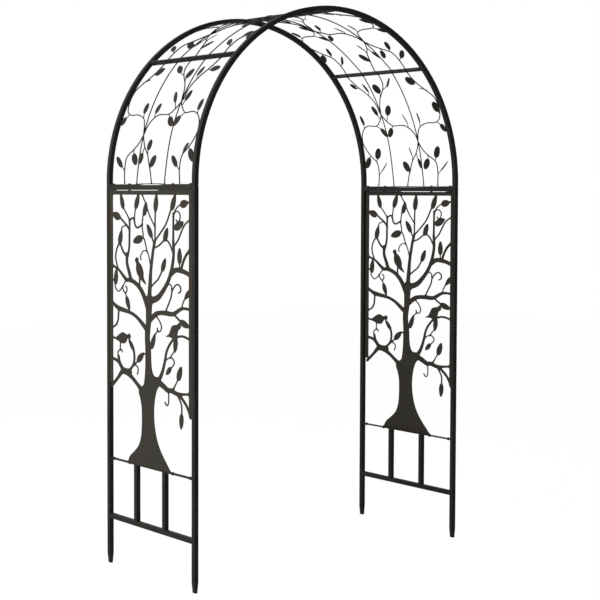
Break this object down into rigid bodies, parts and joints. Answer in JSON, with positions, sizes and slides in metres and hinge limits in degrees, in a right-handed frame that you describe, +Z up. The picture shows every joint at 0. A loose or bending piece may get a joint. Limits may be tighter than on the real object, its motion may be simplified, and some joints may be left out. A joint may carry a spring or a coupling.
{
  "type": "garden arbor",
  "caption": "Free-standing metal garden arbor: staked side frames with cut tree panels carry a round hoop of leafy vine wire over a garden path.",
  "frame": {"origin": "midway between the four stakes, at the level of their tips", "axes": "+X across the path to the right side frame, +Y along the path, +Z up"},
  "size_m": [1.339, 0.571, 2.1325],
  "materials": {
    "tube_paint": "dark bronze-brown satin paint on steel tube",
    "sheet_paint": "dark bronze-brown satin paint on cut sheet steel",
    "vine_paint": "dark bronze-brown satin paint on wire and pressed leaves",
    "fastener_paint": "dark paint on steel fasteners"
  },
  "bodies": {
    "root": {"left_near_leg": "tube_paint", "left_far_leg": "tube_paint", "right_near_leg": "tube_paint", "right_far_leg": "tube_paint", "left_foot_rail": "tube_paint", "right_foot_rail": "tube_paint", "left_balusters": "tube_paint", "right_balusters": "tube_paint", "left_foot_bar": "tube_paint", "right_foot_bar": "tube_paint", "left_near_post": "tube_paint", "left_far_post": "tube_paint", "right_near_post": "tube_paint", "right_far_post": "tube_paint", "left_sill_bar": "tube_paint", "right_sill_bar": "tube_paint", "left_top_rail": "tube_paint", "right_top_rail": "tube_paint", "left_tree_panel": "sheet_paint", "right_tree_panel": "sheet_paint", "left_lower_near_hoop_tube": "tube_paint", "left_lower_far_hoop_tube": "tube_paint", "left_upper_near_hoop_tube": "tube_paint", "left_upper_far_hoop_tube": "tube_paint", "right_lower_near_hoop_tube": "tube_paint", "right_lower_far_hoop_tube": "tube_paint", "right_upper_near_hoop_tube": "tube_paint", "right_upper_far_hoop_tube": "tube_paint", "left_lower_bottom_bar": "tube_paint", "left_lower_top_bar": "tube_paint", "left_upper_bottom_bar": "tube_paint", "left_upper_top_bar": "tube_paint", "right_lower_bottom_bar": "tube_paint", "right_lower_top_bar": "tube_paint", "right_upper_bottom_bar": "tube_paint", "right_upper_top_bar": "tube_paint", "left_lower_vine_wires": "vine_paint", "left_upper_vine_wires": "vine_paint", "right_lower_vine_wires": "vine_paint", "right_upper_vine_wires": "vine_paint", "left_lower_vine_leaves": "vine_paint", "left_upper_vine_leaves": "vine_paint", "right_lower_vine_leaves": "vine_paint", "right_upper_vine_leaves": "vine_paint", "sill_bolts": "fastener_paint", "spring_bolts": "fastener_paint", "mid_bolts": "fastener_paint", "apex_bolts": "fastener_paint", "apex_sleeves": "fastener_paint", "leg_screws": "fastener_paint"}
  },
  "joints": []
}
